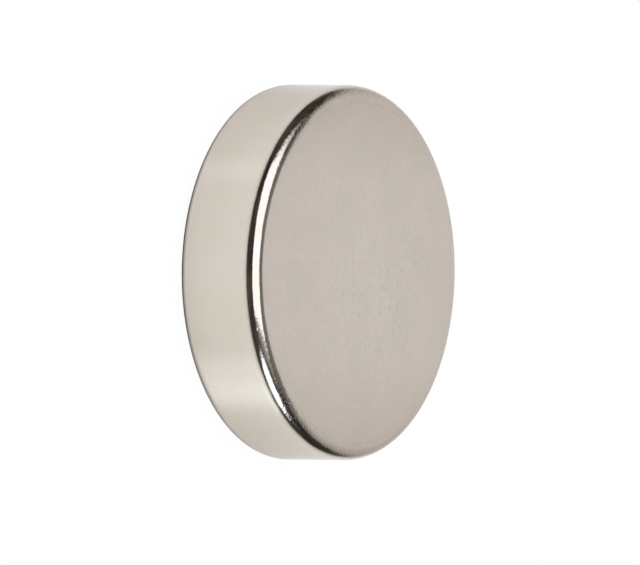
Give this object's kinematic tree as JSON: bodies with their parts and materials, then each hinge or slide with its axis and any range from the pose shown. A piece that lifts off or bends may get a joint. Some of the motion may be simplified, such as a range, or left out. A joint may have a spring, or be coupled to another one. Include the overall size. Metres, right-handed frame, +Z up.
{
  "type": "disc magnet",
  "caption": "Flat round magnet with plain pole faces, a straight rim and rounded edges, plated in bright nickel; it holds to steel or sits in a round pocket.",
  "frame": {"origin": "centre of the lower pole face, on the disc's axis", "axes": "+Z up the disc's axis from the lower pole face to the upper one; X and Y are any two directions across the disc"},
  "size_m": [0.012, 0.012, 0.003],
  "materials": {
    "nickel_plate": "gloss"
  },
  "bodies": {
    "root": {"magnet_disc": "nickel_plate"}
  },
  "joints": []
}
